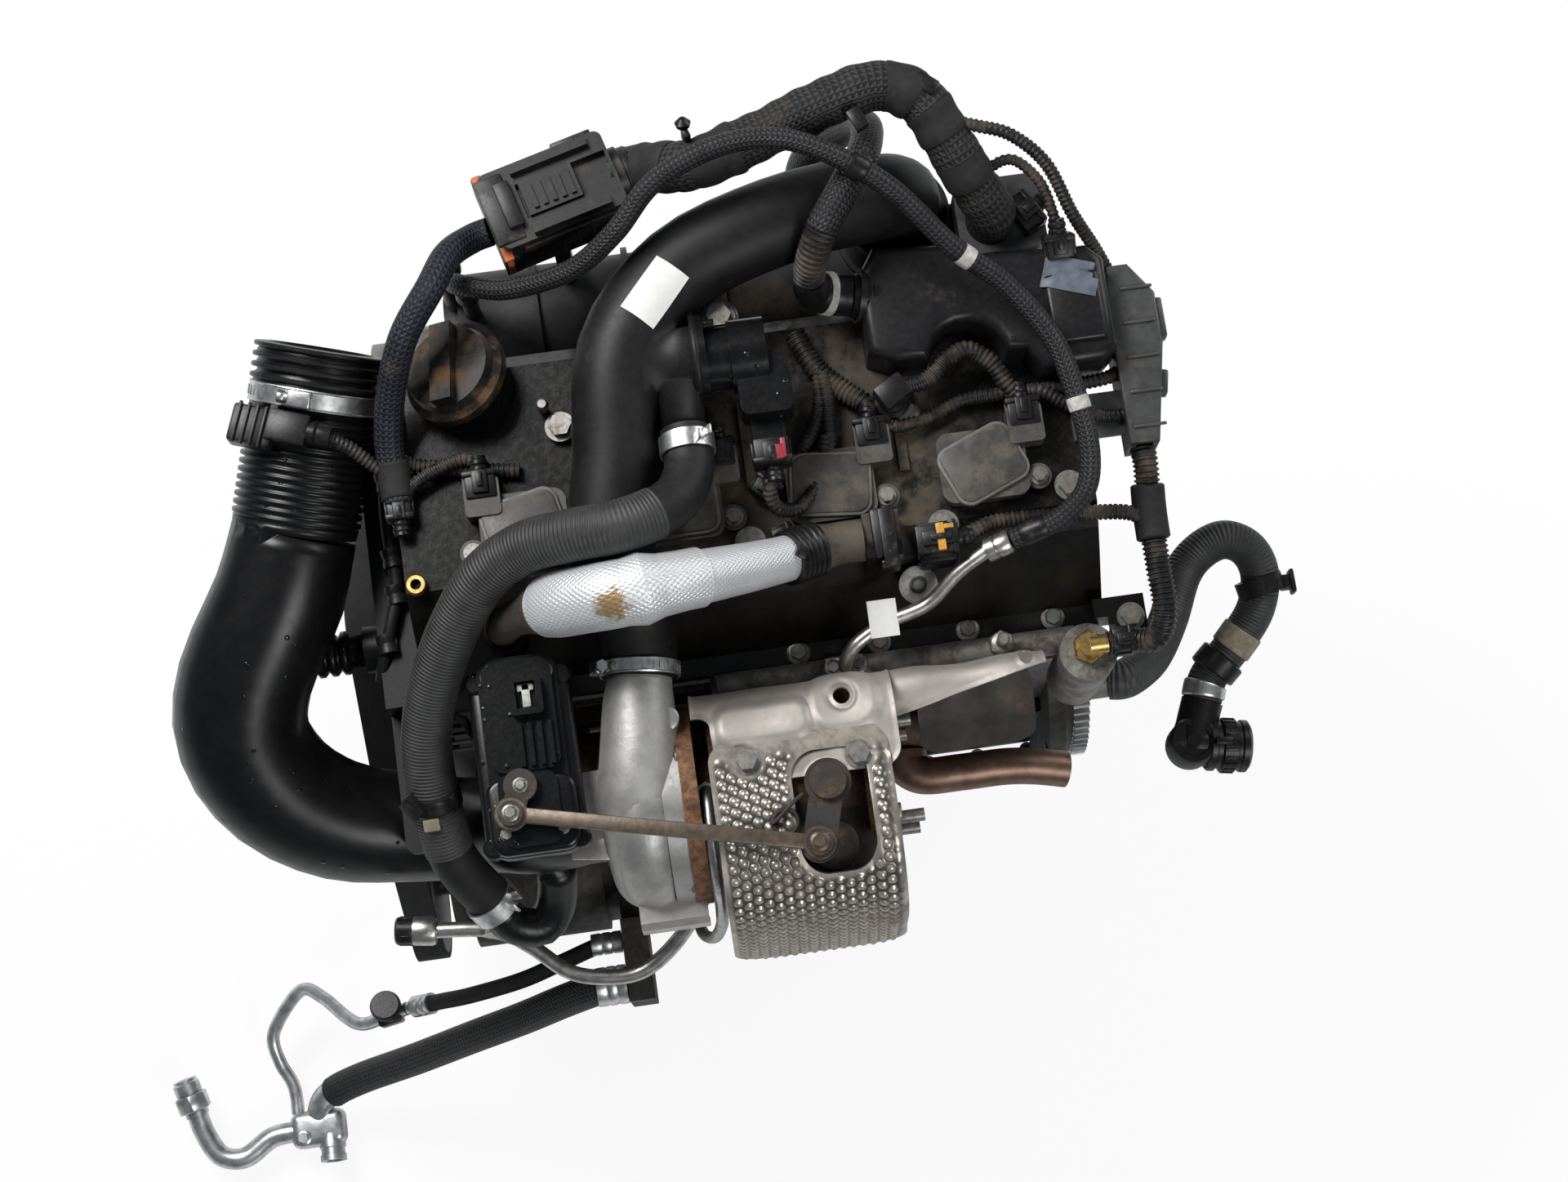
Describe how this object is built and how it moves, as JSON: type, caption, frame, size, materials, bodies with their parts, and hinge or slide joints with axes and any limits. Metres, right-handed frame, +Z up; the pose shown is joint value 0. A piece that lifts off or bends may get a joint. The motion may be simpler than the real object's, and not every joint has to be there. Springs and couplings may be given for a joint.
{
  "type": "turbocharged car engine",
  "caption": "Turbocharged in-line petrol car engine removed from the car, with its intake pipe, charge duct, hoses, wiring, turbocharger with wastegate linkage, and heat shields.",
  "frame": {"origin": "middle of the sump's flat bottom", "axes": "+X along the crankshaft away from the timing side, +Y from the exhaust side to the intake side, +Z up"},
  "size_m": [0.8392, 0.5829, 0.6825],
  "materials": {
    "sump_paint": "dull black paint with dust",
    "block_alloy": "cast, dusty",
    "head_alloy": "cast, oily",
    "cover_plastic": "grained black plastic under brown dust",
    "timing_paint": "black, oily",
    "steel": "machined, lightly oiled",
    "black_steel": "black coated steel",
    "belt_rubber": "ribbed rubber",
    "cast_alloy": "sand cast",
    "black_plastic": "moulded, satin",
    "gloss_plastic": "polished black",
    "hose_rubber": "black rubber",
    "silver_sleeve": "aluminised cloth sleeve",
    "coil_grey": "grey filled cap",
    "loom_braid": "braided and taped loom",
    "olive_plastic": "dusty",
    "brass": "dull",
    "hot_iron": "heat tinted and rusty",
    "rust_iron": "orange rust",
    "shield_sheet": "thin sheet, stained",
    "link_steel": "rusty brown",
    "bolt_steel": "dull zinc"
  },
  "bodies": {
    "engine": {"oil_pan": "sump_paint", "engine_block": "block_alloy", "cylinder_head": "head_alloy", "coolant_gallery": "head_alloy", "cam_cover": "cover_plastic", "timing_cover": "timing_paint", "purge_pipe": "steel", "turbo_pipes": "steel", "hose_clamps": "steel", "accessory_belt": "belt_rubber", "alternator": "cast_alloy", "ac_compressor": "cast_alloy", "belt_tensioner": "cast_alloy", "compressor_housing": "cast_alloy", "ac_fittings": "cast_alloy", "intake_manifold": "black_plastic", "throttle_body": "black_plastic", "charge_duct": "black_plastic", "breather_box": "black_plastic", "ecu_connector": "black_plastic", "heater_connector": "black_plastic", "intake_pipe": "gloss_plastic", "recirculation_valve": "gloss_plastic", "wastegate_actuator": "gloss_plastic", "recirculation_hose": "hose_rubber", "breather_hose": "hose_rubber", "heater_hose": "hose_rubber", "ac_suction_hose": "hose_rubber", "ac_liquid_hose": "hose_rubber", "vent_pipe": "silver_sleeve", "ignition_coil_1": "coil_grey", "ignition_coil_2": "coil_grey", "ignition_coil_3": "coil_grey", "ignition_coil_4": "coil_grey", "main_harness": "loom_braid", "harness_branches": "loom_braid", "purge_hose": "loom_braid", "harness_guide": "olive_plastic", "coolant_sensor": "brass", "exhaust_manifold": "hot_iron", "turbine_housing": "hot_iron", "return_pipe": "hot_iron", "center_housing": "rust_iron", "manifold_shield": "shield_sheet", "turbine_shield": "shield_sheet", "cover_bolts": "bolt_steel"},
    "crank": {"crankshaft": "steel", "crank_pulley": "black_steel", "flexplate": "steel", "crank_bolts": "steel"},
    "alternator_pulley": {"alternator_pulley": "black_steel"},
    "ac_pulley": {"ac_pulley": "black_steel"},
    "water_pump_pulley": {"water_pump_pulley": "black_steel"},
    "tensioner_pulley": {"tensioner_pulley": "black_steel"},
    "turbo_rotor": {"turbo_rotor": "steel"},
    "wastegate_lever": {"wastegate_lever": "link_steel"},
    "actuator_arm": {"actuator_arm": "link_steel"},
    "link_rod": {"link_rod": "link_steel"},
    "oil_filler_cap": {"oil_filler_cap": "black_plastic"},
    "ecu_connector_slide": {"ecu_connector_slide": "black_plastic"}
  },
  "joints": [
    {"name": "crank_spin", "type": "hinge", "parent": "engine", "child": "crank", "pos_m": [0, 0, 0.172], "axis": [1, 0, 0], "continuous": true},
    {"name": "alternator_spin", "type": "hinge", "parent": "engine", "child": "alternator_pulley", "pos_m": [-0.269, 0.164, 0.285], "axis": [1, 0, 0], "continuous": true},
    {"name": "ac_spin", "type": "hinge", "parent": "engine", "child": "ac_pulley", "pos_m": [-0.269, -0.16, 0.172], "axis": [1, 0, 0], "continuous": true},
    {"name": "water_pump_spin", "type": "hinge", "parent": "engine", "child": "water_pump_pulley", "pos_m": [-0.269, -0.008, 0.33], "axis": [1, 0, 0], "continuous": true},
    {"name": "tensioner_spin", "type": "hinge", "parent": "engine", "child": "tensioner_pulley", "pos_m": [-0.269, -0.118, 0.275], "axis": [1, 0, 0], "continuous": true},
    {"name": "turbo_spin", "type": "hinge", "parent": "engine", "child": "turbo_rotor", "pos_m": [-0.056, -0.174, 0.505], "axis": [1, 0, 0], "continuous": true},
    {"name": "wastegate_lever_turn", "type": "hinge", "parent": "engine", "child": "wastegate_lever", "pos_m": [0.019, -0.182, 0.578], "axis": [0, 0, 1], "range_deg": [0, 12.3]},
    {"name": "actuator_arm_turn", "type": "hinge", "parent": "engine", "child": "actuator_arm", "pos_m": [-0.162, -0.159, 0.578], "axis": [0, 0, 1], "range_deg": [0, 25]},
    {"name": "link_rod_turn", "type": "hinge", "parent": "actuator_arm", "child": "link_rod", "pos_m": [-0.16901, -0.17601, 0.584], "axis": [0, 0, 1], "range_deg": [-25, 0]},
    {"name": "oil_cap_turn", "type": "hinge", "parent": "engine", "child": "oil_filler_cap", "pos_m": [-0.16, 0.092, 0.554], "axis": [-0.3664, 0.2079, 0.9069], "range_deg": [0, 90]},
    {"name": "connector_slide", "type": "slide", "parent": "engine", "child": "ecu_connector_slide", "axis": [0.9659, 0.2588, 0], "range_m": [0, 0.01]}
  ],
  "couplings": [
    {"joint": "alternator_spin", "follows": "crank_spin", "ratio": 2.3571},
    {"joint": "ac_spin", "follows": "crank_spin", "ratio": 1.32},
    {"joint": "water_pump_spin", "follows": "crank_spin", "ratio": 1.5},
    {"joint": "tensioner_spin", "follows": "crank_spin", "ratio": 2.2},
    {"joint": "actuator_arm_turn", "follows": "wastegate_lever_turn", "ratio": 2.0325},
    {"joint": "link_rod_turn", "follows": "wastegate_lever_turn", "ratio": -2.0325}
  ]
}
